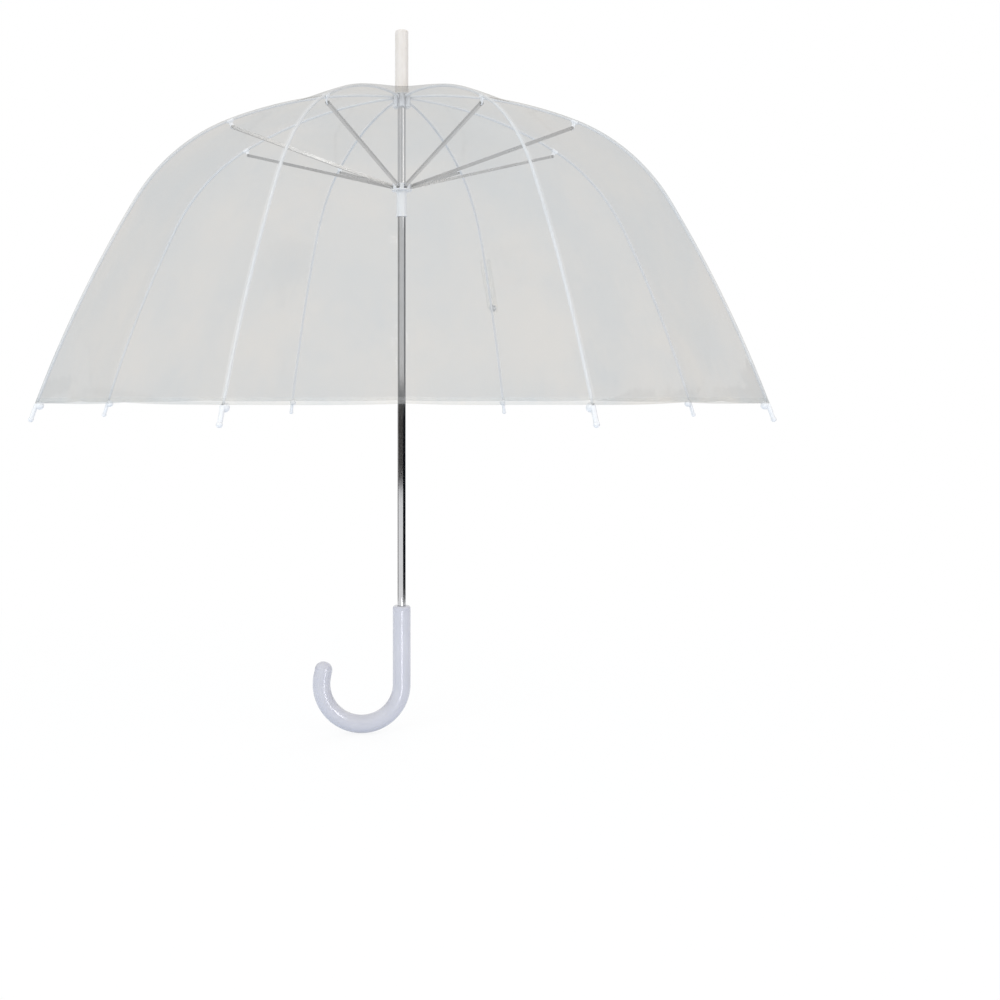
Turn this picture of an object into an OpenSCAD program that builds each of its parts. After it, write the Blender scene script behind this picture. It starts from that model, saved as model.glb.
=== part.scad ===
// A clear dome umbrella on a straight stick, shown open.
// Millimetres. The origin is on the stick's axis at the middle of the straight grip, +Z runs up
// the stick to the ferrule, and the crook of the handle opens towards -X.

/* [Stick] */
// Outside diameter of the steel tube
shaft_d = 10; // [8:0.5:14]
// Wall of the steel tube
shaft_wall = 0.7; // [0.5:0.1:1.2]
// Height of the rib pivots above the middle of the grip
notch_z = 658; // [620:1:720]
// Depth of the tube inside the handle
shaft_in_handle = 60; // [30:1:80]
// Depth of the tube inside the ferrule
shaft_in_ferrule = 42; // [20:1:60]
// Radial clearance of pieces that are fixed to the tube
seat_gap = 0.05; // [0.02:0.01:0.1]

/* [Handle] */
// Diameter of the grip
handle_d = 21.5; // [18:0.5:28]
// Length of the straight grip above the bend
grip_len = 94; // [70:1:120]
// Radius of the crook, at its centre line
crook_r = 48.2; // [38:0.2:60]
// Angle that the crook turns through, up to its free end
crook_turn = 192; // [180:1:215]
// Length of the straight stretch between the crook and its round end
crook_arm = 7; // [2:0.5:20]
// Depth that the cap is seated in the crook
cap_seat = 2; // [1:0.5:3]
// Amount that the cap is slimmer than the crook
cap_inset = 0.15; // [0.1:0.05:0.3]
// Half width of the small flat on the crook's round end
cap_flat = 0.8; // [0.4:0.1:2]
// Rounding of the handle's top edge
handle_round = 3; // [1:0.5:6]

/* [Ferrule] */
// Wall of the ferrule around the tube
ferrule_wall = 3; // [2:0.25:4]
// Length of the ferrule above the canopy
ferrule_len = 76; // [50:1:100]
// Rounding of the ferrule's top edge
ferrule_round = 1.6; // [0.5:0.1:3]

/* [Ribs] */
// Diameter of a rib
rib_d = 3; // [2.4:0.1:3.4]
// Distance of the rib and stretcher pivots from the tube
pivot_out = 4; // [3.8:0.1:5]
// Length of a rib from its pivot to the clip
rib_top_len = 210; // [190:1:230]
// Length of the tight bend past the clip
rib_bend_len = 145; // [130:1:160]
// Length of the long run from the bend to the tip
rib_run_len = 248; // [225:1:265]
// Slope of a rib at its pivot
slope_pivot = 1; // [0:0.5:4]
// Slope of a rib at the clip
slope_clip = 25; // [22:0.5:28]
// Slope of a rib where the tight bend ends
slope_bend = 60; // [56:0.5:62]
// Slope of a rib at its tip
slope_tip = 70; // [66:0.5:74]
// Distance past the clip at which the rib flexes
flex_at = 40; // [34:1:48]
// Diameter of the eye at a rib's inner end
eye_d = 4.4; // [4:0.1:5]
// Amount that eyes and knuckles are narrower than the rib
eye_flat = 0.5; // [0.3:0.1:0.8]
// Length of the swaged collar where two stretches of a rib meet
collar_len = 3; // [2:0.5:4]
// Amount that the collar is thicker than the rib
collar_up = 0.2; // [0.1:0.05:0.3]
// Amount that the flex knuckle is thicker than the rib
knuckle_up = 0.2; // [0.1:0.05:0.4]
// Clearance of the flex knuckle in its seat
knuckle_gap = 0.15; // [0.1:0.05:0.3]

/* [Pivots] */
// Diameter of the two wire rings
wire_d = 1; // [0.8:0.1:1.2]
// Radial clearance of an eye on its wire or rivet
eye_gap = 0.25; // [0.2:0.05:0.35]
// Diameter of a rivet
rivet_d = 1.4; // [1.2:0.1:1.6]
// Diameter of a rivet's heads
rivet_head_d = 2.6; // [2.2:0.1:3]
// Thickness of a rivet's heads
rivet_head_t = 0.5; // [0.3:0.1:0.8]
// Drop from the rib's centre line to the stretcher pivot
clip_drop = 8; // [7.5:0.1:9]
// Length of the clip along the rib
clip_len = 8; // [6:0.5:10]
// Wall of the clip around the rib
clip_wall = 1; // [0.8:0.1:1.4]
// Thickness of the clip's ear
ear_t = 1.4; // [1.2:0.1:1.6]
// Width of the clip's ear
ear_w = 4; // [3.4:0.1:4.4]

/* [Stretchers] */
// Outside width of the stretcher's channel
channel_w = 3.4; // [3.2:0.1:3.8]
// Depth of the stretcher's channel
channel_h = 3.4; // [3.2:0.1:3.8]
// Sheet thickness of the channel
channel_t = 0.6; // [0.5:0.05:0.7]
// Amount that the round eyes at its ends are deeper than the channel
stretcher_eye_up = 0.6; // [0.4:0.1:1]
// Amount that each side of a stretcher's eye is pressed in
eye_press = 0.1; // [0.05:0.05:0.2]

/* [Notch and runner] */
// Width of the top notch outside the rib pivots
notch_rim = 2; // [1.4:0.1:4]
// Thickness of the notch's roof over the rib slots
notch_roof = 1.5; // [1:0.1:3]
// Depth of the notch below the rib pivots
notch_down = 12; // [8:0.5:16]
// Width of the runner's crown outside the stretcher pivots
crown_rim = 3.3; // [2:0.1:5]
// Height of the crown above the stretcher pivots
crown_up = 4; // [3:0.1:6]
// Thickness of the crown's floor under the stretcher slots
crown_floor = 1.9; // [1:0.1:4]
// Wall of the runner's sleeve
sleeve_wall = 1.1; // [0.8:0.1:1.4]
// Length of the runner below the stretcher pivots
sleeve_len = 35; // [28:1:45]
// Amount that the rim at the sleeve's foot stands out
foot_rim = 0.5; // [0.2:0.1:1.2]
// Height of the rim at the sleeve's foot
foot_h = 3; // [2:0.5:5]
// Radial clearance of the runner on the tube
slide_gap = 0.1; // [0.08:0.01:0.2]
// Sideways clearance of ribs and stretchers in their slots
slot_gap = 0.3; // [0.2:0.05:0.4]

/* [Catches] */
// Thickness of a catch across the tube
catch_t = 1.6; // [1.2:0.1:1.8]
// Height of a catch along the tube
catch_h = 10; // [8:0.5:14]
// Amount that a catch stands out of the tube
catch_out = 1; // [0.8:0.1:1.1]
// Clearance around a catch
catch_gap = 0.3; // [0.2:0.05:0.3]
// Angle that the ribs swing through to shut
fold_angle = 70; // [66:0.5:72]
// Diameter of the stop pin above the runner
stop_d = 2; // [1.6:0.1:2.6]
// Amount that the stop pin stands out of the tube
stop_out = 1.4; // [1:0.1:1.8]

/* [Canopy] */
// Thickness of the clear film
film_t = 0.2; // [0.1:0.05:0.4]
// Gap between a rib and the film over it
film_gap = 0.5; // [0.4:0.05:0.8]
// Gap between the edges of two gores, where their weld is
weld_gap = 0.06; // [0.04:0.01:0.1]
// Distance between the hem and the end of a rib
hem_back = 0.5; // [0.4:0.1:4]

/* [Rib tips] */
// Diameter of the bead at the hem
bead_d = 9; // [7:0.5:11]
// Wall of the tip around the rib
stem_wall = 0.9; // [0.7:0.1:1.3]
// Length of the tip past the end of the rib
tip_len = 17; // [12:0.5:22]
// Diameter of the ball at the tip's end
ball_d = 6; // [5:0.2:7]

/* [Tie strap] */
// Width of the strap
strap_w = 16; // [10:1:24]
// Length of the strap
strap_len = 90; // [60:1:120]
// Thickness of the strap
strap_t = 0.5; // [0.3:0.1:1]
// Distance of the strap's sewn end past the rib's bend
strap_at = 20; // [10:1:40]
// Diameter of the snap fastener
snap_d = 11; // [8:0.5:13]
// Thickness of each half of the snap fastener
snap_t = 1.2; // [0.8:0.1:2]

/* [Hidden] */
$fn = 48;
body_white = [0.93, 0.93, 0.95];
clear_film = [0.84, 0.85, 0.85, 0.4];
steel = [0.75, 0.76, 0.78];
ribs = 8;
// The middle of a flat gore is this share of the radius at its ribs.
gore_share = cos(180 / ribs);
// How far a cut runs past the face that it opens
cut_past = 1;
slit_azimuth = 90;
strap_rib = 2;

// Radii and levels
shaft_r = shaft_d / 2;
handle_r = handle_d / 2;
handle_top = grip_len / 2;
cap_r = handle_r - cap_inset;
cap_round = cap_r - cap_flat;
ferrule_d = shaft_d + 2 * ferrule_wall;
pivot_r = shaft_r + pivot_out;
knuckle_d = rib_d + knuckle_up;
stretcher_eye_d = channel_h + stretcher_eye_up;
notch_d = 2 * (pivot_r + notch_rim);
crown_d = 2 * (pivot_r + crown_rim);
crown_down = stretcher_eye_d / 2 + slot_gap + crown_floor;
sleeve_d = shaft_d + 2 * (slide_gap + sleeve_wall);
foot_d = sleeve_d + 2 * foot_rim;
stem_d = rib_d + 2 * stem_wall;
notch_top = notch_z + eye_d / 2 + slot_gap + notch_roof;
ferrule_base = notch_top + film_t;
shaft_bottom = handle_top - shaft_in_handle;
shaft_top = ferrule_base + shaft_in_ferrule;
notch_slot_r = pivot_r - eye_d / 2 - slot_gap;
runner_slot_r = pivot_r - stretcher_eye_d / 2 - slot_gap;
eye_w = rib_d - eye_flat;
eye_r = wire_d / 2 + eye_gap;

// A point in a rib's plane is [distance from the axis, height], and a slope is in degrees below level.
// The rib is three arcs that run on from each other.
function inward(slope) = [-sin(slope), -cos(slope)];
function arc_radius(len, turn) = len / (turn * PI / 180);
function arc_end(p, slope, len, turn) =
    p + arc_radius(len, turn) * (inward(slope) - inward(slope + turn));

turn_top = slope_clip - slope_pivot;
turn_bend = slope_bend - slope_clip;
turn_run = slope_tip - slope_bend;
flex_turn = turn_bend * flex_at / rib_bend_len;
slope_flex = slope_clip + flex_turn;

rib_pivot = [pivot_r, notch_z];
clip_at = arc_end(rib_pivot, slope_pivot, rib_top_len, turn_top);
flex_point = arc_end(clip_at, slope_clip, flex_at, flex_turn);
bend_end = arc_end(clip_at, slope_clip, rib_bend_len, turn_bend);
rib_end = arc_end(bend_end, slope_bend, rib_run_len, turn_run);

// The stretcher is as long as the line from the rib's pivot to its own pivot on the clip, and the
// runner's pivots lie on the same circle as the notch's, so both swing through equal angles.
joint_at = clip_at + clip_drop * inward(slope_clip);
link_len = norm(joint_at - rib_pivot);
link_slope = atan2(notch_z - joint_at[1], joint_at[0] - pivot_r);
runner_z = 2 * joint_at[1] - notch_z;
crown_top = runner_z + crown_up;
sleeve_foot = runner_z - sleeve_len;
upper_catch_z = sleeve_foot - slide_gap - catch_h / 2;

// Shut, the lower catch stands two thirds of the way down the sleeve.
runner_shut_z = notch_z - 2 * link_len * sin(link_slope + fold_angle);
lower_catch_z = runner_shut_z - sleeve_len * 2 / 3;

function azimuth(i) = (i - 0.5) * 360 / ribs;

// Shapes that several pieces share

// Stands its children, drawn in the plane of X and Z, in the plane of rib i
module on_rib(i) {
    rotate([0, 0, azimuth(i)]) children();
}

// Moves its children to a point in the rib's plane, with their Z axis along the rib
module along_rib(p, slope) {
    translate([p[0], 0, p[1]]) rotate([0, 90 + slope, 0]) children();
}

// A cylinder across the rib's plane
module cross_pin(p, d, w) {
    translate([p[0], 0, p[1]]) rotate([90, 0, 0]) cylinder(h = w, d = d, center = true);
}

// A round rod along an arc in the rib's plane
module arc_rod(p, slope, len, turn, d) {
    r = arc_radius(len, turn);
    c = p + r * inward(slope);
    translate([c[0], 0, c[1]]) rotate([90, 0, 0]) rotate([0, 0, 90 - slope - turn])
        rotate_extrude(angle = turn, $fn = 120) translate([r, 0]) circle(d = d);
}

// The collar that joins two stretches of a rib
module collar(p, slope) {
    along_rib(p, slope) cylinder(h = collar_len, d = rib_d + collar_up, center = true);
}

// A plain ring of wire
module wire_ring(z, d) {
    translate([0, 0, z]) rotate_extrude($fn = 96) translate([pivot_r, 0]) circle(d = d);
}

// A tube of one outer diameter around the stick
module tube(z0, z1, outer_d, inner_d) {
    translate([0, 0, z0]) difference() {
        cylinder(h = z1 - z0, d = outer_d);
        translate([0, 0, -cut_past]) cylinder(h = z1 - z0 + 2 * cut_past, d = inner_d);
    }
}

// A rod that stands on the ground plane, with its top edge rounded
module rounded_rod(r, h, rounding) {
    rotate_extrude() {
        square([r, h - rounding]);
        translate([0, h - rounding]) square([r - rounding, rounding]);
        translate([r - rounding, h - rounding]) intersection() {
            circle(r = rounding);
            square(rounding);
        }
    }
}

// A box at the back of the stick, where the catches are
module back_box(w, y0, y1, z0, z1) {
    rotate([0, 0, slit_azimuth]) translate([y0, -w / 2, z0]) cube([y1 - y0, w, z1 - z0]);
}

// Stick

module shaft() {
    slot_w = catch_t + 2 * catch_gap;
    color(steel) {
        difference() {
            tube(shaft_bottom, shaft_top, shaft_d, shaft_d - 2 * shaft_wall);
            for (z = [upper_catch_z, lower_catch_z])
                back_box(slot_w, 0, shaft_d, z - catch_h / 2 - catch_gap, z + catch_h / 2 + catch_gap);
        }
        translate([0, 0, crown_top + slide_gap + stop_d / 2]) rotate([0, 90, 0])
            cylinder(h = shaft_d + 2 * stop_out, d = stop_d, center = true);
    }
}

module handle() {
    color(body_white) difference() {
        union() {
            translate([0, 0, -handle_top]) rounded_rod(handle_r, grip_len, handle_round);
            translate([-crook_r, 0, -handle_top]) rotate([90, 0, 0]) rotate([180, 0, 0]) {
                rotate_extrude(angle = crook_turn, $fn = 120) translate([crook_r, 0]) circle(d = handle_d);
                rotate([0, 0, crook_turn]) translate([crook_r, -cap_seat, 0]) rotate([-90, 0, 0])
                    rounded_rod(cap_r, cap_seat + crook_arm + cap_round, cap_round);
            }
        }
        translate([0, 0, shaft_bottom]) cylinder(h = shaft_in_handle + cut_past, r = shaft_r + seat_gap);
    }
}

module ferrule() {
    color(body_white) translate([0, 0, ferrule_base]) difference() {
        rounded_rod(ferrule_d / 2, ferrule_len, ferrule_round);
        translate([0, 0, -cut_past]) cylinder(h = shaft_in_ferrule + cut_past, r = shaft_r + seat_gap);
    }
}

// Radial slots for ribs or stretchers, from the slots' inner wall outwards
module radial_slots(r, w, z0, z1) {
    for (i = [1 : ribs])
        on_rib(i) translate([r, -w / 2, z0]) cube([crown_d, w, z1 - z0]);
}

module top_notch() {
    color(body_white) difference() {
        tube(notch_z - notch_down, notch_top, notch_d, shaft_d + 2 * seat_gap);
        radial_slots(notch_slot_r, rib_d + 2 * slot_gap,
            notch_z - notch_down - cut_past, notch_z + eye_d / 2 + slot_gap);
        wire_ring(notch_z, wire_d + 2 * seat_gap);
    }
}

module notch_wire() {
    color(steel) wire_ring(notch_z, wire_d);
}

// A catch is a flat pawl that stands through the tube's slot
module catch(z) {
    root_y = -shaft_r / 4;
    color(steel) rotate([0, 0, slit_azimuth]) translate([0, catch_t / 2, z]) rotate([90, 0, 0])
        linear_extrude(height = catch_t) polygon([
            [root_y, -catch_h / 2],
            [shaft_r - shaft_wall, -catch_h / 2],
            [shaft_r + catch_out, catch_h / 4],
            [shaft_r + catch_out, catch_h / 2],
            [root_y, catch_h / 2]]);
}

module upper_catch() {
    catch(upper_catch_z);
}

module lower_catch() {
    catch(lower_catch_z);
}

// Runner

module runner() {
    bore_d = shaft_d + 2 * slide_gap;
    slit_w = catch_t + 2 * catch_gap;
    slit_r = shaft_r + catch_out + catch_gap;
    color(body_white) difference() {
        union() {
            tube(runner_z - crown_down, crown_top, crown_d, bore_d);
            tube(sleeve_foot, runner_z, sleeve_d, bore_d);
            tube(sleeve_foot, sleeve_foot + foot_h, foot_d, bore_d);
        }
        radial_slots(runner_slot_r, channel_w + 2 * slot_gap,
            runner_z - stretcher_eye_d / 2 - slot_gap, crown_top + cut_past);
        wire_ring(runner_z, wire_d + 2 * seat_gap);
        back_box(slit_w, 0, slit_r, sleeve_foot - cut_past, crown_top + cut_past);
        back_box(slit_w, 0, foot_d, sleeve_foot - cut_past, runner_z - crown_down);
    }
}

module runner_wire() {
    color(steel) wire_ring(runner_z, wire_d);
}

// Ribs

module rib_upper(i) {
    color(body_white) on_rib(i) difference() {
        union() {
            arc_rod(rib_pivot, slope_pivot, rib_top_len, turn_top, rib_d);
            arc_rod(clip_at, slope_clip, flex_at, flex_turn, rib_d);
            collar(clip_at, slope_clip);
            cross_pin(rib_pivot, eye_d, eye_w);
        }
        cross_pin(rib_pivot, 2 * eye_r, rib_d + cut_past);
        cross_pin(flex_point, knuckle_d + 2 * knuckle_gap, rib_d + cut_past);
    }
}

module rib_lower(i) {
    color(body_white) on_rib(i) {
        cross_pin(flex_point, knuckle_d, eye_w);
        collar(bend_end, slope_bend);
        arc_rod(flex_point, slope_flex, rib_bend_len - flex_at, turn_bend - flex_turn, rib_d);
        arc_rod(bend_end, slope_bend, rib_run_len, turn_run, rib_d);
    }
}

// The clip is open on the side of the film, and its ear hangs below the rib
module rib_clip(i) {
    clip_r = (rib_d + collar_up) / 2 + seat_gap + clip_wall;
    open_d = rib_d + collar_up + 2 * seat_gap;
    color(body_white) on_rib(i) difference() {
        union() {
            along_rib(clip_at, slope_clip) cylinder(h = clip_len, r = clip_r, center = true);
            along_rib(clip_at, slope_clip) translate([0, -ear_t / 2, -ear_w / 2])
                cube([clip_drop, ear_t, ear_w]);
            cross_pin(joint_at, ear_w, ear_t);
        }
        along_rib(clip_at, slope_clip) cylinder(h = 2 * clip_len, d = open_d, center = true);
        along_rib(clip_at, slope_clip) translate([-2 * clip_r, -clip_r - cut_past, -clip_len])
            cube([2 * clip_r - rib_d / 4, 2 * (clip_r + cut_past), 2 * clip_len]);
        cross_pin(joint_at, rivet_d + 2 * seat_gap, ear_t + cut_past);
    }
}

module rivet(i) {
    span = channel_w + 2 * seat_gap;
    color(steel) on_rib(i) {
        cross_pin(joint_at, rivet_d, span);
        for (side = [-1, 1])
            translate([0, side * (span + rivet_head_t) / 2, 0]) cross_pin(joint_at, rivet_head_d, rivet_head_t);
    }
}

// The stretcher is a channel whose web is on its lower side. The web stops short of the clip's ear.
module stretcher(i) {
    web_back = ear_w / 2 + 2 * slot_gap;
    inner_w = channel_w - 2 * channel_t;
    color(steel) on_rib(i) difference() {
        union() {
            translate([pivot_r, 0, runner_z]) rotate([0, -link_slope, 0])
                translate([0, -channel_w / 2, -channel_h / 2]) cube([link_len, channel_w, channel_h]);
            cross_pin([pivot_r, runner_z], stretcher_eye_d, channel_w - 2 * eye_press);
            cross_pin(joint_at, stretcher_eye_d, channel_w - 2 * eye_press);
        }
        translate([pivot_r, 0, runner_z]) rotate([0, -link_slope, 0]) {
            translate([-channel_h, -inner_w / 2, channel_t - channel_h / 2])
                cube([link_len + 2 * channel_h, inner_w, 2 * channel_h]);
            translate([link_len - web_back, -inner_w / 2, -channel_h])
                cube([web_back + 2 * channel_h, inner_w, 2 * channel_h]);
        }
        cross_pin([pivot_r, runner_z], 2 * eye_r, channel_w + cut_past);
        cross_pin(joint_at, rivet_d + 2 * seat_gap, channel_w + cut_past);
    }
}

// The tip is a cap on the end of the rib, with a bead under the hem and a ball at its end.
// The bead lies far enough in to clear the gores, which slant away on both sides of the rib.
module rib_tip(i) {
    bead_in = (bead_d / 2 + film_gap) / gore_share - film_off;
    color(body_white) on_rib(i) along_rib(rib_end, slope_tip) difference() {
        union() {
            translate([bead_in, 0, 0]) sphere(d = bead_d);
            cylinder(h = tip_len, d = stem_d);
            translate([0, 0, tip_len]) sphere(d = ball_d);
        }
        translate([0, 0, -bead_d]) cylinder(h = bead_d + seat_gap, d = rib_d + 2 * seat_gap);
    }
}

// Canopy

// Profile of the film over a rib: flat on the notch, then a steady gap off the rib
film_steps_top = 8;
film_steps_bend = 8;
film_steps_run = 7;
film_lead = 36;
film_off = rib_d / 2 + film_gap;

function rib_point(p, slope, len, turn, s, off) =
    arc_end(p, slope, s, turn * s / len) - off * inward(slope + turn * s / len);

function film_profile(off) = concat(
    [for (r = [shaft_r + film_t, notch_d / 2 + film_t]) [r / gore_share, notch_top + off - film_off]],
    [for (k = [0 : film_steps_top - 1])
        rib_point(rib_pivot, slope_pivot, rib_top_len, turn_top,
            film_lead + (rib_top_len - film_lead) * k / film_steps_top, off)],
    [for (k = [0 : film_steps_bend - 1])
        rib_point(clip_at, slope_clip, rib_bend_len, turn_bend, max(0.001, rib_bend_len * k / film_steps_bend), off)],
    [for (k = [0 : film_steps_run])
        rib_point(bend_end, slope_bend, rib_run_len, turn_run,
            max(0.001, (rib_run_len - hem_back) * k / film_steps_run), off)]);

// One gore of the film, from rib i to the next rib
module gore(i) {
    skin = film_profile(film_off + film_t);
    lining = film_profile(film_off);
    rings = len(skin);
    last = rings - 1;
    points = [for (profile = [skin, lining], p = profile, side = [0, 1])
        let (a = azimuth(i + side), edge = (0.5 - side) * weld_gap)
        [p[0] * cos(a) - edge * sin(a), p[0] * sin(a) + edge * cos(a), p[1]]];
    function at(layer, ring, side) = (layer * rings + ring) * 2 + side;
    function quad(a, b, c, d) = [[a, b, c], [a, c, d]];
    faces = concat(
        [for (k = [0 : last - 1]) each concat(
            quad(at(0, k, 0), at(0, k, 1), at(0, k + 1, 1), at(0, k + 1, 0)),
            quad(at(1, k, 0), at(1, k + 1, 0), at(1, k + 1, 1), at(1, k, 1)),
            quad(at(0, k, 0), at(0, k + 1, 0), at(1, k + 1, 0), at(1, k, 0)),
            quad(at(0, k, 1), at(1, k, 1), at(1, k + 1, 1), at(0, k + 1, 1)))],
        quad(at(0, 0, 0), at(1, 0, 0), at(1, 0, 1), at(0, 0, 1)),
        quad(at(0, last, 0), at(0, last, 1), at(1, last, 1), at(1, last, 0)));
    polyhedron(points = points, faces = faces);
}

// The gores are welded over the ribs, with a hair's breadth between them here
module canopy() {
    color(clear_film) for (i = [1 : ribs]) gore(i);
}

// Tie strap

strap_slope = slope_bend + turn_run * strap_at / rib_run_len;
strap_top = rib_point(bend_end, slope_bend, rib_run_len, turn_run, strap_at, film_off + film_t + film_gap);

// Puts its children on the outside of the canopy over the strap's rib, Z down the strap and X inwards
module on_strap() {
    on_rib(strap_rib) along_rib(strap_top, strap_slope) children();
}

module tie_strap() {
    color(clear_film) on_strap() translate([-strap_t, -strap_w / 2, 0])
        cube([strap_t, strap_w, strap_len]);
}

// The snap's cap sits on the strap's free end
module snap_fastener() {
    color(body_white) on_strap() translate([-strap_t, 0, strap_len - snap_d]) rotate([0, -90, 0]) {
        cylinder(h = snap_t, d = snap_d);
        translate([0, 0, snap_t]) cylinder(h = snap_t, d = snap_d / 2);
    }
}

shaft();
handle();
ferrule();
top_notch();
notch_wire();
upper_catch();
lower_catch();
runner();
runner_wire();
canopy();
tie_strap();
snap_fastener();
for (i = [1 : ribs]) {
    rib_upper(i);
    rib_lower(i);
    rib_clip(i);
    rivet(i);
    stretcher(i);
    rib_tip(i);
}
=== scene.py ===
# %% [markdown]
# # A clear dome umbrella
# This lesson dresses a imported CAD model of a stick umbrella. The stick, handle, stretchers, clips
# and tips keep their CAD shapes and get finishes. The clear film and the bending ribs are made here,
# because a film that gathers and a rod that bends can't be rigid solids.
# Everything is in metres. The stick stands on the Z axis, and the origin is in the middle of the grip.

# %% Load the CAD frame
import math

import bpy
import numpy as np
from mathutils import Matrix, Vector, noise


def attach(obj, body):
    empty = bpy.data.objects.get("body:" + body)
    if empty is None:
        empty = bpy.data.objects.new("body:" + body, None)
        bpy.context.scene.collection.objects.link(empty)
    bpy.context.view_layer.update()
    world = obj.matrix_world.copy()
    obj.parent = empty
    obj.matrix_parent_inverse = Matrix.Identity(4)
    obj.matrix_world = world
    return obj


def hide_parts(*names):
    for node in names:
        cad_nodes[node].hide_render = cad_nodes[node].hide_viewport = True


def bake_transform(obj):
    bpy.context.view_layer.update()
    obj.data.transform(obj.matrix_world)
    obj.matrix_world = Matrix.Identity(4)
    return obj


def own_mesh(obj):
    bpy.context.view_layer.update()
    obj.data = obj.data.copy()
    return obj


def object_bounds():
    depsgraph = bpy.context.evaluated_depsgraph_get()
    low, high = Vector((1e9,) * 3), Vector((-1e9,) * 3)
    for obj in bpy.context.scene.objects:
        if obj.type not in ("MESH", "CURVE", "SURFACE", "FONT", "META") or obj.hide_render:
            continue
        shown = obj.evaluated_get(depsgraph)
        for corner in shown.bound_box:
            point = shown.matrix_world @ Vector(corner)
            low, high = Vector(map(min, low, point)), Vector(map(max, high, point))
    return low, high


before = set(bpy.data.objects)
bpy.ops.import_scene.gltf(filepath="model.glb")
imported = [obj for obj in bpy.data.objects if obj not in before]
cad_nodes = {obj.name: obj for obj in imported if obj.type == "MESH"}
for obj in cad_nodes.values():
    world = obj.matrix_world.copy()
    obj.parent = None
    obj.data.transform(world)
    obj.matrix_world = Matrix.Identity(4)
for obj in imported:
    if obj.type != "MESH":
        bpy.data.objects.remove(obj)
cad_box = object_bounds()
MM = 0.001
print("CAD box in mm:", [[round(x / MM) for x in corner] for corner in cad_box])

# %% [markdown]
# ## Camera
# The photograph was taken level, from a little above the hem, so the hem is a nearly straight line.
# The focal length and the distance come from how much smaller the far ribs look than the near ones.
# A small turn round the stick lines the near and far ribs up as they are in the photograph.
# Lens shift places the umbrella left of the middle and keeps the stick upright.

# %% Camera
EYE_DISTANCE = 1.4196
EYE_HEIGHT = 0.299
EYE_TURN = math.radians(0.85)
FOCAL_PX = 1180
STICK_PX = (401.7, 396)
FRAME_PX = 1000
SENSOR_MM = 36

camera = bpy.data.objects.new("camera", bpy.data.cameras.new("camera"))
bpy.context.scene.collection.objects.link(camera)
camera.location = (-EYE_DISTANCE * math.sin(EYE_TURN), -EYE_DISTANCE * math.cos(EYE_TURN), EYE_HEIGHT)
camera.rotation_euler = (math.radians(90), 0, -EYE_TURN)
camera.data.sensor_width = SENSOR_MM
camera.data.lens = SENSOR_MM * FOCAL_PX / FRAME_PX
camera.data.shift_x = 0.5 - STICK_PX[0] / FRAME_PX
camera.data.shift_y = STICK_PX[1] / FRAME_PX - 0.5
camera.data.clip_start = 0.05
bpy.context.scene.camera = camera
bpy.context.scene.view_settings.view_transform = "Standard"
print("lens", round(camera.data.lens, 2), "mm")

# %% [markdown]
# ## Node helpers
# Each finish is a small node tree. These helpers make a node, set its sockets and link it in one
# line, so that a finish reads as a list of its layers.


# %% Node helpers
def new_finish(name):
    """A material with an empty node tree and an output."""
    finish = bpy.data.materials.new(name)
    finish.use_nodes = True
    tree = finish.node_tree
    tree.nodes.clear()
    return finish, tree, tree.nodes.new("ShaderNodeOutputMaterial")


def add(tree, kind, **sockets):
    """A node with its sockets set. A socket's value may be a number, a colour or another socket."""
    node = tree.nodes.new("ShaderNode" + kind)
    for name, value in sockets.items():
        put(tree, node, name.replace("_", " "), value)
    return node


def put(tree, node, name, value):
    """Sets one input, or links it where the value is a socket."""
    socket = node.inputs[name] if not name.isdigit() else node.inputs[int(name)]
    if isinstance(value, bpy.types.NodeSocket):
        tree.links.new(value, socket)
    else:
        socket.default_value = value


def ramp(tree, factor, stops):
    """A colour ramp through (position, colour) stops."""
    node = add(tree, "ValToRGB", Fac=factor)
    line = node.color_ramp.elements
    while len(line) < len(stops):
        line.new(0.5)
    for element, (place, colour) in zip(line, stops):
        element.position = place
        element.color = (*colour, 1)
    return node.outputs["Color"]


def object_noise(tree, scale, detail=3.0, stretch=(1, 1, 1)):
    """Noise in the piece's own metres, so that its grain has a real size."""
    where = add(tree, "TexCoord").outputs["Object"]
    sized = add(tree, "Mapping", Vector=where, Scale=stretch)
    return add(tree, "TexNoise", Vector=sized.outputs["Vector"], Scale=scale, Detail=detail).outputs["Fac"]


def bump(tree, height, strength, distance):
    """A bump whose height is a real distance in metres."""
    return add(tree, "Bump", Height=height, Strength=strength, Distance=distance).outputs["Normal"]


# %% [markdown]
# ## Stage
# The umbrella stands before white paper under soft light. A camera ray that misses it sees plain white,
# and the floor under it keeps a faint shadow that fades into the white further out. Chrome needs
# something dark to reflect, as it has in a room, so dark cards stand well away from the umbrella, where
# only reflections can see them. Two light cards do the same for the glints on the stretchers, and a
# narrow lamp makes the streak on the handle.

# %% World and floor
WHITE = (1, 1, 1, 1)
FLOOR_Z = cad_box[0].z - 0.5 * MM
FLOOR_HALF = 40
SHADOW_FROM, SHADOW_TO, SHADOW_FADE = 0.3, 1.1, 0.86


def seen_directly(tree):
    """1 for camera, glossy and transmission rays, which see plain white, and 0 for the light's own rays."""
    rays = add(tree, "LightPath")
    some = add(tree, "Math", **{"0": rays.outputs["Is Camera Ray"], "1": rays.outputs["Is Glossy Ray"]})
    some = add(tree, "Math", **{"0": some.outputs[0], "1": rays.outputs["Is Transmission Ray"]})
    some.use_clamp = True
    return some.outputs[0]


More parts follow.
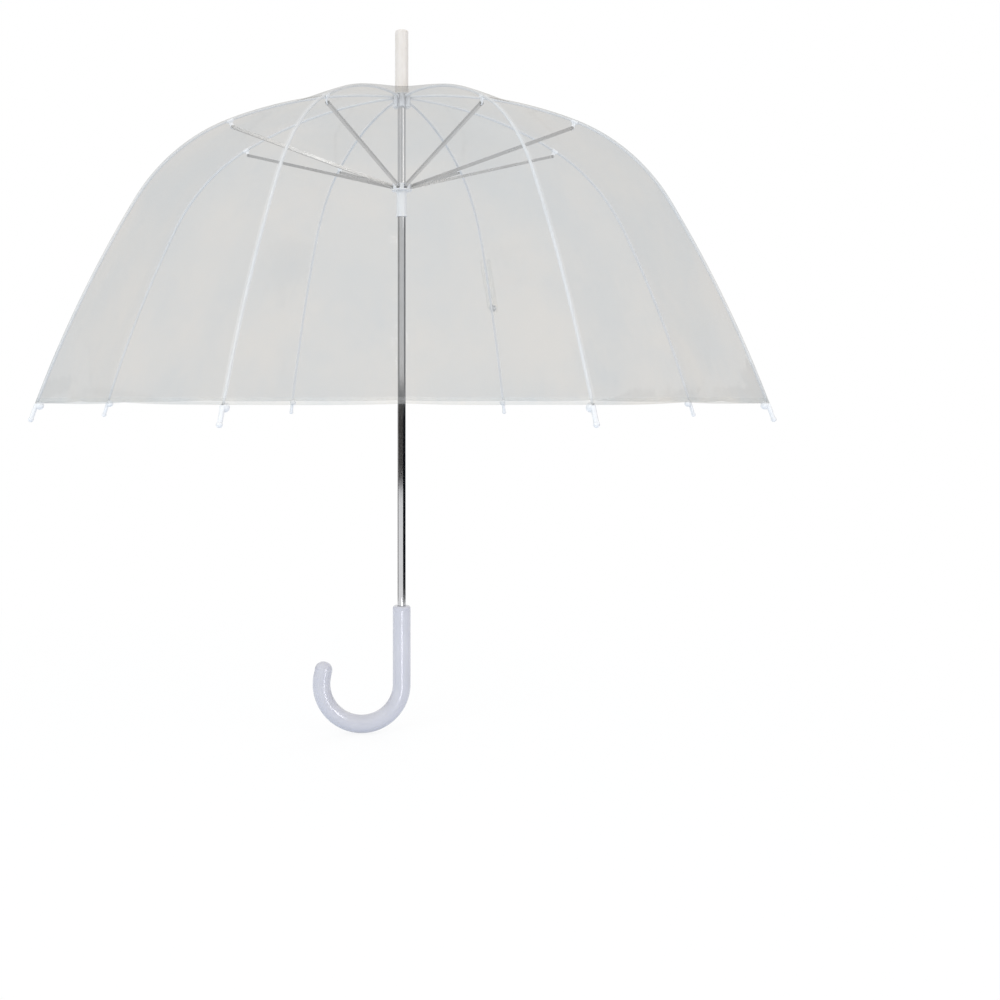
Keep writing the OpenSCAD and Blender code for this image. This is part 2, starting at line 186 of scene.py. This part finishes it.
world = bpy.data.worlds.new("studio")
bpy.context.scene.world = world
world.use_nodes = True
sky = world.node_tree
sky.nodes.clear()
soft = add(sky, "Background", Color=(0.97, 0.985, 1, 1), Strength=0.78)
paper = add(sky, "Background", Color=WHITE, Strength=1.0)
both = add(sky, "MixShader", Fac=seen_directly(sky), **{"1": soft.outputs[0], "2": paper.outputs[0]})
sky.links.new(both.outputs[0], sky.nodes.new("ShaderNodeOutputWorld").inputs["Surface"])

floor_mesh = bpy.data.meshes.new("floor")
corners = [(x * FLOOR_HALF, y * FLOOR_HALF, FLOOR_Z) for x, y in ((-1, -1), (1, -1), (1, 1), (-1, 1))]
floor_mesh.from_pydata(corners, [], [(0, 1, 2, 3)])
floor = bpy.data.objects.new("floor", floor_mesh)
bpy.context.scene.collection.objects.link(floor)
floor_paper, tree, out = new_finish("floor_paper")
lit = add(tree, "BsdfDiffuse", Color=(0.79, 0.86, 0.96, 1))
pale = add(tree, "BsdfDiffuse", Color=(0.98, 0.98, 0.98, 1))
glow = add(tree, "Emission", Color=WHITE, Strength=1.0)
away = add(tree, "VectorMath", **{"0": add(tree, "TexCoord").outputs["Object"]})
away.operation = "LENGTH"
fade = add(tree, "MapRange", Value=away.outputs["Value"])
for place, value in enumerate((SHADOW_FROM, SHADOW_TO, SHADOW_FADE, 1.0), 1):
    put(tree, fade, str(place), value)
shaded = add(tree, "MixShader", Fac=fade.outputs[0], **{"1": pale.outputs[0], "2": glow.outputs[0]})
whole = add(tree, "MixShader", Fac=seen_directly(tree), **{"1": lit.outputs[0], "2": shaded.outputs[0]})
put(tree, out, "Surface", whole.outputs[0])
floor_mesh.materials.append(floor_paper)
print("floor at", round(FLOOR_Z / MM, 1), "mm")


# %% Lamps and cards
def lamp(name, place, target, size, power, colour=(1, 1, 1), height=None):
    """A soft square lamp that faces a target. Reflections don't see it, as film would turn white there.
    With a height it is a narrow lamp for a streak of gloss, which only reflections see."""
    light = bpy.data.lights.new(name, "AREA")
    light.shape, light.size, light.energy, light.color = "SQUARE", size, power, colour
    if height:
        light.shape, light.size_y = "RECTANGLE", height
    holder = bpy.data.objects.new(name, light)
    bpy.context.scene.collection.objects.link(holder)
    holder.location = place
    holder.rotation_euler = (Vector(target) - Vector(place)).to_track_quat("-Z", "Y").to_euler()
    holder.visible_glossy, holder.visible_diffuse = bool(height), not height


lamp("key", (-1.7, -2.8, 1.5), (0, 0, 0.3), 2.4, 46, (0.95, 0.98, 1))
lamp("fill", (2.4, -2.0, 0.9), (0, 0, 0.3), 2.4, 22, (1, 0.93, 0.91))
lamp("back", (0.8, 2.6, 1.8), (0, 0, 0.4), 2.2, 18)
GRIP_MIDDLE = -0.039
lamp("grip", (0.008, -0.15, GRIP_MIDDLE), (0, 0, GRIP_MIDDLE), 0.031, 0.117, (0.95, 0.94, 1), height=0.132)

CARD_STEPS = 24


def card(name, angles, low, high, tone, strength=1.0):
    """A curved card that only reflections see. It spans two angles round from the camera's side, between
    a low edge and a high edge that are each given as (distance from the stick, height)."""
    mesh = bpy.data.meshes.new(name)
    spots = []
    for k in range(CARD_STEPS + 1):
        turn = math.radians(angles[0] + (angles[1] - angles[0]) * k / CARD_STEPS)
        spots += [(far * math.sin(turn), -far * math.cos(turn), z) for far, z in (low, high)]
    mesh.from_pydata(spots, [], [(2 * k, 2 * k + 2, 2 * k + 3, 2 * k + 1) for k in range(CARD_STEPS)])
    holder = bpy.data.objects.new(name, mesh)
    bpy.context.scene.collection.objects.link(holder)
    cloth, tree, out = new_finish(name)
    put(tree, out, "Surface", add(tree, "Emission", Color=(*tone, 1), Strength=strength).outputs[0])
    mesh.materials.append(cloth)
    for ray in ("camera", "diffuse", "shadow", "transmission", "volume_scatter"):
        setattr(holder, "visible_" + ray, False)


ROOM_FAR, ROOM_LOW, ROOM_TOP = 1.6, 0.067, 0.33
CARD_FAR, CARD_LOW, CARD_TOP = 0.9, -0.104, 0.285
WALL_LOW, WALL_TOP = 0.28, 0.77
card("room_dark", (-100, 60), (ROOM_FAR, ROOM_LOW), (ROOM_FAR, ROOM_TOP), (0.062, 0.058, 0.054))
card("card_right", (35, 132), (CARD_FAR, CARD_LOW), (CARD_FAR, CARD_TOP), (0.006, 0.007, 0.01))
card("card_left", (-150, -104), (CARD_FAR, CARD_LOW), (CARD_FAR, CARD_TOP), (0.16, 0.15, 0.15))
card("card_right_upper", (64, 128), (ROOM_FAR, WALL_LOW), (ROOM_FAR, WALL_TOP), (0.12, 0.12, 0.12))
card("card_left_upper", (-128, -64), (ROOM_FAR, WALL_LOW), (ROOM_FAR, WALL_TOP), (0.38, 0.375, 0.36))
card("window_left", (-42, -37), (2.6, 1.0), (2.5, 1.4), (1, 1, 1), 2.5)
card("window_right", (36, 46), (2.6, 0.9), (2.5, 1.5), (1, 0.99, 0.97), 5.0)

# %% [markdown]
# ## Plastics
# The handle is moulded in a cool white that leans to lilac, and the ferrule in a warmer cream. Both
# are glossy, with a faint unevenness that moulding leaves, so the gloss ripples a little.
# A Principled shader with low roughness and a very shallow bump gives that.


# %% Moulded plastics
def moulded(name, light, shade, roughness=0.22, clear=0.0, glow=0.0):
    """Glossy moulded plastic: two close tones, an uneven gloss and a shallow ripple."""
    finish, tree, out = new_finish(name)
    cloud = object_noise(tree, 26.0)
    tone = ramp(tree, cloud, [(0.35, shade), (0.65, light)])
    grain = object_noise(tree, 900.0, 2.0)
    patches = object_noise(tree, 60.0)
    gloss = add(tree, "MapRange", Value=patches, **{"3": roughness * 0.8, "4": roughness * 1.25})
    skin = add(tree, "BsdfPrincipled", Base_Color=tone, Roughness=gloss.outputs[0])
    put(tree, skin, "Normal", bump(tree, grain, 0.25, 0.00006))
    skin.inputs["IOR"].default_value = 1.49
    skin.inputs["Subsurface Weight"].default_value = glow
    skin.inputs["Subsurface Radius"].default_value = (0.004, 0.004, 0.005)
    skin.inputs["Subsurface Scale"].default_value = 1.0
    surface = skin.outputs[0]
    if clear:
        see = add(tree, "BsdfTransparent", Color=(0.97, 0.97, 0.97, 1))
        surface = add(tree, "MixShader", Fac=clear, **{"1": surface, "2": see.outputs[0]}).outputs[0]
    put(tree, out, "Surface", surface)
    return finish


handle_plastic = moulded("handle_plastic", (0.585, 0.578, 0.615), (0.553, 0.55, 0.59), 0.11, glow=0.15)
ferrule_plastic = moulded("ferrule_plastic", (0.72, 0.67, 0.615), (0.69, 0.637, 0.578), 0.3, glow=0.1)
runner_plastic = moulded("runner_plastic", (0.845, 0.845, 0.845), (0.82, 0.82, 0.825), 0.3, glow=0.2)
notch_plastic = moulded("notch_plastic", (0.92, 0.925, 0.93), (0.88, 0.885, 0.89), 0.35, clear=0.5)
tip_plastic = moulded("tip_plastic", (0.86, 0.86, 0.86), (0.83, 0.83, 0.83), 0.3, clear=0.1)
clip_plastic = moulded("clip_plastic", (0.93, 0.93, 0.93), (0.89, 0.89, 0.89), 0.35)
rib_fibre = moulded("rib_fibre", (0.735, 0.735, 0.73), (0.70, 0.70, 0.695), 0.32)

# %% [markdown]
# ## Metals
# The stick is a plated tube with a mirror finish, fine drawing lines along it and a few dull spots.
# The stretchers are thin folded steel, plated too but duller. A stretched noise makes the drawing
# lines: it is squeezed along Z, so it hardly changes up the stick.


# %% Plated steel
def plated(name, light, shade, roughness, stretch):
    """Plated steel with drawn lines, cloudy tone and slightly uneven gloss."""
    finish, tree, out = new_finish(name)
    lines = object_noise(tree, 700.0, 2.0, stretch)
    cloud = object_noise(tree, 35.0)
    tone = ramp(tree, cloud, [(0.3, shade), (0.7, light)])
    gloss = add(tree, "MapRange", Value=cloud, **{"3": roughness * 0.7, "4": roughness * 1.4})
    steel = add(tree, "BsdfPrincipled", Base_Color=tone, Metallic=1.0, Roughness=gloss.outputs[0])
    put(tree, steel, "Normal", bump(tree, lines, 0.12, 0.00004))
    put(tree, out, "Surface", steel.outputs[0])
    return finish


shaft_chrome = plated("shaft_chrome", (0.65, 0.653, 0.665), (0.58, 0.585, 0.60), 0.09, (1, 1, 0.01))
stretcher_steel = plated("stretcher_steel", (0.62, 0.62, 0.62), (0.52, 0.52, 0.525), 0.26, (0.2, 0.2, 1))
wire_steel = plated("wire_steel", (0.55, 0.55, 0.55), (0.45, 0.45, 0.46), 0.3, (1, 1, 1))

# %% Finish the CAD pieces
CAD_FINISHES = {
    "shaft": shaft_chrome, "handle": handle_plastic, "ferrule": ferrule_plastic, "runner": runner_plastic,
    "top_notch": notch_plastic, "rib_clip": clip_plastic, "rib_tip": tip_plastic,
    "snap_fastener": tip_plastic, "stretcher": stretcher_steel, "rivet": wire_steel,
    "notch_wire": wire_steel, "runner_wire": wire_steel,
    "upper_catch": wire_steel, "lower_catch": wire_steel,
}
for name, piece in cad_nodes.items():
    finish = CAD_FINISHES.get(name) or CAD_FINISHES.get(name.rstrip("12345678").rstrip("_"))
    if finish:
        piece.data.materials.clear()
        piece.data.materials.append(finish)
print(sum(1 for o in cad_nodes.values() if o.data.materials), "CAD pieces finished")

# %% [markdown]
# ## The line of a rib
# Each rib is a thin rod that leaves the notch nearly level, bends down past its clip and runs almost
# straight to the hem. Three arcs follow each other, as in the CAD source, so a point on the rib is
# found from its distance along the rod. The film lies a little outside the same line.

# %% Rib line
RIBS = 8
HALF_GORE = math.pi / RIBS
RIB_R = 1.5 * MM
RIB_PIVOT = np.array([9.0, 658.0]) * MM
# Each arc is its length, and its slope in degrees at the start and at the end.
RIB_ARCS = ((210 * MM, 1, 25), (145 * MM, 25, 60), (248 * MM, 60, 70))
RIB_LENGTH = sum(arc[0] for arc in RIB_ARCS)
FLEX_AT = 250 * MM


def inward(slope):
    """The direction towards the inside of the dome, in the rib's plane, at a slope in degrees."""
    return np.array([-math.sin(math.radians(slope)), -math.cos(math.radians(slope))])


def rib_point(along):
    """(place as radius and height, slope in degrees) at a distance along the rib."""
    place = RIB_PIVOT
    for length, slope, end in RIB_ARCS:
        part = min(max(along, 0), length)
        turn = (end - slope) * part / length
        radius = length / math.radians(end - slope)
        reached = place + radius * (inward(slope) - inward(slope + turn))
        if along <= length or end == RIB_ARCS[-1][2]:
            return reached, slope + turn
        place, along = reached, along - length


def azimuth(i):
    """The angle of rib i round the stick."""
    return (i - 0.5) * 2 * HALF_GORE


def in_space(i, radius, across, height):
    """A point from its radius and height in rib i's plane and its distance across that plane."""
    c, s = math.cos(azimuth(i)), math.sin(azimuth(i))
    return Vector((radius * c - across * s, radius * s + across * c, height))


flex_point = rib_point(FLEX_AT)[0]
print("flex point in mm", (flex_point / MM).round(2), "rib end", (rib_point(RIB_LENGTH)[0] / MM).round(2))

# %% [markdown]
# ## Ribs
# A real rib is one springy glass fibre rod, while the CAD has two rigid rods with a knuckle. One tube is
# swept along the whole line, with its eye round the notch wire, in place of the two CAD rods, which are
# hidden.


# %% Sweep the ribs
def mesh_piece(name, points, faces, finishes, face_finish=None):
    """A smooth mesh object from points and faces."""
    mesh = bpy.data.meshes.new(name)
    mesh.from_pydata([tuple(p) for p in points], [], faces)
    for finish in finishes:
        mesh.materials.append(finish)
    if face_finish is not None:
        mesh.polygons.foreach_set("material_index", face_finish)
    mesh.polygons.foreach_set("use_smooth", [True] * len(mesh.polygons))
    mesh.update()
    piece = bpy.data.objects.new(name, mesh)
    bpy.context.scene.collection.objects.link(piece)
    return piece


ROD_SIDES = 14
# Distances along the rod in mm, closer together where it bends.
ROD_STOPS = [2.2, 2.6, 3.5, *np.linspace(8, 200, 25), *np.linspace(206, 360, 40)]
ROD_STOPS += [*np.linspace(368, 601, 36)]
ROD_GIRTH = [0.55, 0.85, 1.0] + [1.0] * (len(ROD_STOPS) - 5) + [0.9, 0.6]
EYE_RING, EYE_WIRE, EYE_FLAT = 1.55 * MM, 0.65 * MM, 1.6
EYE_AROUND, EYE_SIDES = 20, 10


def rod_parts(i):
    """Points and faces of rib i: a rod with domed ends, and the eye ring at its inner end."""
    points, faces = [], []
    for stop, thick in zip(ROD_STOPS, ROD_GIRTH):
        (r, z), slope = rib_point(stop * MM)
        n = -inward(slope)
        for k in range(ROD_SIDES):
            turn = 2 * math.pi * k / ROD_SIDES
            off = RIB_R * thick * math.cos(turn)
            points.append(in_space(i, r + off * n[0], RIB_R * thick * math.sin(turn), z + off * n[1]))
    rings = len(ROD_STOPS)
    for j in range(rings - 1):
        for k in range(ROD_SIDES):
            a, b = j * ROD_SIDES + k, j * ROD_SIDES + (k + 1) % ROD_SIDES
            faces.append((a, a + ROD_SIDES, b + ROD_SIDES, b))
    faces.append(tuple(range(ROD_SIDES)))
    faces.append(tuple(range(rings * ROD_SIDES - 1, (rings - 1) * ROD_SIDES - 1, -1)))
    base = len(points)
    for j in range(EYE_AROUND):
        a = 2 * math.pi * j / EYE_AROUND
        for k in range(EYE_SIDES):
            b = 2 * math.pi * k / EYE_SIDES
            reach = EYE_RING + EYE_WIRE * math.cos(b)
            r, z = RIB_PIVOT[0] + reach * math.cos(a), RIB_PIVOT[1] + reach * math.sin(a)
            points.append(in_space(i, r, EYE_WIRE * EYE_FLAT * math.sin(b), z))
    for j in range(EYE_AROUND):
        for k in range(EYE_SIDES):
            a, b = base + j * EYE_SIDES, base + (j + 1) % EYE_AROUND * EYE_SIDES
            after = (k + 1) % EYE_SIDES
            faces.append((a + k, b + k, b + after, a + after))
    return points, faces


for i in range(1, RIBS + 1):
    rib = mesh_piece(f"rib_{i}", *rod_parts(i), [rib_fibre])
    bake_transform(rib)
    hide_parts(f"rib_upper_{i}", f"rib_lower_{i}")
print(RIBS, "ribs of", len(rib.data.polygons), "faces")

# %% [markdown]
# ## Clear film
# The canopy is clear soft film. Light passes through it a little dimmed, and it shines where it faces a
# lamp or is seen edge on. Glass with refraction would bend the view, which thin film doesn't, so
# a Transparent shader dims the view and a Fresnel mix adds the shine. A bump adds soft waves.
# The film's tone also follows its crease pattern, as painted shading that makes the creases show.
# The shine has a limit, because film seen edge on would mirror white paper and look torn there.


# %% Film finish
FILM_IOR = 1.4
GLOSS_MOST = 0.1
# The first of these is a random warm and cool tint and the second a random tone. The last is painted
# shading: how far the film's tone follows the crease pattern, lighter and darker along the creases.
CLOUD, MOTTLE, CREASE_SHADE = 0.012, 0.016, 0.11
WAVE_HEIGHT = 4 * MM


def film(name, passes, haze, shine, wave, crinkle=0.12):
    """Clear film: how much light passes, how milky, shiny and wavy it is, and how sharply it crinkles."""
    finish, tree, out = new_finish(name)
    swell = object_noise(tree, 22.0, 2.0)
    crease = object_noise(tree, 130.0, 3.0, (1, 1, 0.35))
    creases = add(tree, "Math", **{"0": crease, "1": crinkle})
    creases.operation = "MULTIPLY"
    height = add(tree, "Math", **{"0": swell, "1": creases.outputs[0]})
    normal = bump(tree, height.outputs[0], wave, WAVE_HEIGHT)
    warm = tuple(p * (1 + MOTTLE + CLOUD * c) for p, c in zip(passes, (1, 0, -1)))
    cool = tuple(p * (1 - MOTTLE - CLOUD * c) for p, c in zip(passes, (1, 0, -1)))
    # Painted shading of the creases: the film passes a little more light where the crease pattern is high
    # and a little less where it is low, so the creases show lighter and darker. This is added to a random
    # mottle.
    crease_shade = add(tree, "MapRange", Value=crease, **{"3": -CREASE_SHADE, "4": CREASE_SHADE})
    mottle_and_crease_shade = add(tree, "Math", **{"0": object_noise(tree, 9.0, 3.0), "1": crease_shade.outputs[0]})
    cloud = ramp(tree, mottle_and_crease_shade.outputs[0], [(0.36, cool), (0.64, warm)])
    see = add(tree, "BsdfTransparent", Color=cloud)
    milk = add(tree, "BsdfDiffuse", Color=(0.8, 0.8, 0.79, 1), Normal=normal)
    body = add(tree, "MixShader", Fac=haze, **{"1": see.outputs[0], "2": milk.outputs[0]})
    gloss = add(tree, "BsdfGlossy", Color=(0.67, 0.67, 0.665, 1), Roughness=0.07, Normal=normal)
    behind = add(tree, "NewGeometry").outputs["Backfacing"]
    index = add(tree, "MapRange", Value=behind, **{"3": FILM_IOR, "4": 1 / FILM_IOR})
    edge = add(tree, "Fresnel", IOR=index.outputs[0], Normal=normal)
    share = add(tree, "Math", **{"0": edge.outputs[0], "1": shine})
    share.operation = "MULTIPLY"
    most = add(tree, "Math", **{"0": share.outputs[0], "1": GLOSS_MOST})
    most.operation = "MINIMUM"
    whole = add(tree, "MixShader", Fac=most.outputs[0], **{"1": body.outputs[0], "2": gloss.outputs[0]})
    put(tree, out, "Surface", whole.outputs[0])
    return finish


clear_film = film("clear_film", (0.814, 0.812, 0.804), 0.085, 0.9, 0.16, 0.2)
weld_film = film("weld_film", (0.88, 0.88, 0.875), 0.14, 0.9, 0.7, 0.4)
hem_film = film("hem_film", (0.915, 0.915, 0.908), 0.09, 0.9, 0.2)
strap_film = film("strap_film", (0.985, 0.985, 0.98), 0.01, 0.6, 0.1)

# %% [markdown]
# ## Canopy
# The real canopy is eight gores of film, welded to each other over the ribs and hemmed at the bottom.
# It is one curved sheet, but it has to gather when the umbrella shuts. So the sheet is cut, where no
# one sees it, along each rib, along the middle of each gore and at the height where the ribs bend. Every
# cut edge lies on its neighbour's edge, and each part rides on its rib.

# %% Film line over a rib
FILM_OFF = 2.1 * MM
FILM_TOP = 662.1 * MM
FILM_LEAD = 36 * MM
FILM_INNER = 5.6 * MM
HEM_AT = RIB_LENGTH - 0.5 * MM
HEM_FOLD = 6.5 * MM
HEM_GAP = 0.5 * MM
HEM_RISE = 3.5 * MM
GORE_SAG = 5 * MM
GORE_RIPPLE, RIPPLE_SCALE = 2.2 * MM, 9.0
CROWN_SAG, CROWN_AT, CROWN_REACH = 3.5 * MM, 130 * MM, 60 * MM
WELD_W = 3.2 * MM
FOLD_DEPTH, FOLDS, FOLD_SIZE, FOLD_REACH, FOLD_START = 2.0 * MM, 7, 40 * MM, 45 * MM, 6 * MM


def film_line(along):
    """(radius, height, slope) of the film over a rib. Before the lead it runs in to the stick."""
    if along >= FILM_LEAD:
        (r, z), slope = rib_point(along)
        r, z = np.array([r, z]) - FILM_OFF * inward(slope)
        return r, z, slope
    (r1, z1), slope = rib_point(FILM_LEAD)
    r1, z1 = np.array([r1, z1]) - FILM_OFF * inward(slope)
    share = along / FILM_LEAD
    r = FILM_INNER + (r1 - FILM_INNER) * share
    ease = share * share * (3 - 2 * share)
    return r, FILM_TOP + (z1 - FILM_TOP) * ease, slope * share


def film_point(i, side, along, across, layer=0.0):
    """A point of the film beside rib i. across is 0 at the rib and 1 at the middle of the gore."""
    drop = along / HEM_AT
    along_here = along - HEM_RISE * across * across * drop**8
    r, z, slope = film_line(along_here)
    chord = r * math.sin(HALF_GORE)
    radial = r - across * chord * math.sin(HALF_GORE)
    tangent = side * across * chord * math.cos(HALF_GORE)
    point = in_space(i, radial, tangent, z)
    tilt = math.radians(slope)
    middle = azimuth(i) + side * HALF_GORE
    normal = Vector((math.cos(middle) * math.sin(tilt), math.sin(middle) * math.sin(tilt), math.cos(tilt)))
    slack = math.sin(math.pi * across / 2) ** 2
    push = -GORE_SAG * slack * min(1, drop * 1.4) ** 2
    push -= CROWN_SAG * slack * math.exp(-(((along - CROWN_AT) / CROWN_REACH) ** 2))
    push += GORE_RIPPLE * slack * drop * noise.noise(point * RIPPLE_SCALE)
    push += tip_folds(i, side, along, across, chord)
    return point + normal * (push - layer)


def tip_folds(i, side, along, across, chord):
    """Small folds that spread from a rib's tip, where the film is pulled tight."""
    up, out = HEM_AT - along, across * chord
    far = math.hypot(up, out)
    turn = math.atan2(out, max(up, 1e-6))
    wave = math.cos(FOLDS * turn + 1.3 * i + 0.7 * side)
    fall = far / FOLD_SIZE * math.exp(-far / FOLD_REACH)
    return FOLD_DEPTH * wave * fall * (1 - across) ** 2 * min(1, out / FOLD_START)


# %% Build the film
ACROSS = 16
UPPER_STOPS = [0, 6, 12, 20, 28, 36, *np.linspace(46, 250, 28)]
HEM_STOPS = [(HEM_AT - HEM_FOLD / 2) / MM, HEM_AT / MM]
LOWER_STOPS = [*np.linspace(250, (HEM_AT - HEM_FOLD) / MM, 54), *HEM_STOPS]


def columns(along):
    """Shares across the half gore: a narrow weld first, then even steps to the middle."""
    chord = film_line(along)[0] * math.sin(HALF_GORE)
    weld = min(WELD_W / chord, 2 / ACROSS)
    return [0, weld / 2, weld] + [weld + (1 - weld) * k / (ACROSS - 2) for k in range(1, ACROSS - 1)]


def film_part(name, i, side, stops, hemmed):
    """One part of the film, with its weld and, at the bottom, its folded hem."""
    rows = [(stop * MM, 0.0) for stop in stops]
    if hemmed:
        rows += [(HEM_AT, HEM_GAP), (HEM_AT - HEM_FOLD / 2, HEM_GAP), (HEM_AT - HEM_FOLD, HEM_GAP)]
    points, faces, kinds = [], [], []
    for along, layer in rows:
        points += [film_point(i, side, along, v, layer) for v in columns(along)]
    wide = ACROSS + 1
    for j in range(len(rows) - 1):
        for k in range(ACROSS):
            a = j * wide + k
            quad = (a, a + wide, a + wide + 1, a + 1)
            faces.append(quad if side > 0 else quad[::-1])
            in_hem = hemmed and j >= len(stops) - 3
            kinds.append(2 if in_hem else 1 if k < 2 else 0)
    return mesh_piece(name, points, faces, [clear_film, weld_film, hem_film], kinds)


# Level, stops and hem, then how it gathers: slope and lean of the axis, share kept and anchor in mm.
PARTS = (
    ("upper", UPPER_STOPS, False, 9.0, 12.5, 0.25, 200),
    ("lower", LOWER_STOPS, True, 58.0, 21.0, 0.135, 490),
)
film_area = 0
for i in range(1, RIBS + 1):
    for level, stops, hemmed, slope, lean, keep, anchor_at in PARTS:
        for side, hand in ((1, "a"), (-1, "b")):
            part = film_part(f"film_{level}_{i}{hand}", i, side, stops, hemmed)
            area = sum(p.area for p in part.data.polygons)
            film_area += area
            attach(part, f"rib_{level}_{i}")
            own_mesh(part)
            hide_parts("canopy")
            part.visible_shadow = part.visible_diffuse = False
print("film area", round(film_area, 4), "square metres")

# %% [markdown]
# ## Tie strap
# A short strap of the same film is sewn on over one rib, and a snap fastener on its end closes it
# round the shut umbrella. The CAD strap is a flat plate. Here it is a thin strip with a rounded end
# that lies straight down the canopy from its sewn end.

# %% Strap
STRAP_RIB = 2
STRAP_AT = 375 * MM
STRAP_OFF = 2.75 * MM
STRAP_LENGTH = 90 * MM
STRAP_W = 16 * MM
STRAP_T = 0.5 * MM


def strap_point(down, across, lift):
    """A point of the strap, from its sewn end down, across its width and out from the film."""
    (r, z), slope = rib_point(STRAP_AT)
    n = -inward(slope)
    d = np.array([math.cos(math.radians(slope)), -math.sin(math.radians(slope))])
    r, z = np.array([r, z]) + d * down + n * (STRAP_OFF + lift)
    return in_space(STRAP_RIB, r, across, z)


strap_points, strap_faces = [], []
STRAP_ROWS, STRAP_COLS = 40, 8
for layer in (0, STRAP_T):
    for j in range(STRAP_ROWS + 1):
        down = STRAP_LENGTH * j / STRAP_ROWS
        tail = max(0, down - (STRAP_LENGTH - STRAP_W / 2)) / (STRAP_W / 2)
        half = STRAP_W / 2 * math.sqrt(max(0.02, 1 - tail * tail))
        for k in range(STRAP_COLS + 1):
            across = half * (2 * k / STRAP_COLS - 1)
            strap_points.append(strap_point(down, across, layer))
wide, layer_size = STRAP_COLS + 1, (STRAP_ROWS + 1) * (STRAP_COLS + 1)
for j in range(STRAP_ROWS):
    for k in range(STRAP_COLS):
        a = j * wide + k
        quad = (a, a + wide, a + wide + 1, a + 1)
        strap_faces += [quad, tuple(layer_size + quad[x] for x in (0, 3, 2, 1))]
rim = list(range(wide)) + [j * wide + STRAP_COLS for j in range(1, STRAP_ROWS + 1)]
rim += [STRAP_ROWS * wide + k for k in range(STRAP_COLS - 1, -1, -1)]
rim += [j * wide for j in range(STRAP_ROWS - 1, 0, -1)]
strap_faces += [(a, b, layer_size + b, layer_size + a) for a, b in zip(rim, rim[1:] + rim[:1])]
strap = mesh_piece("strap", strap_points, strap_faces, [strap_film])
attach(strap, f"rib_lower_{STRAP_RIB}")
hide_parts("tie_strap")
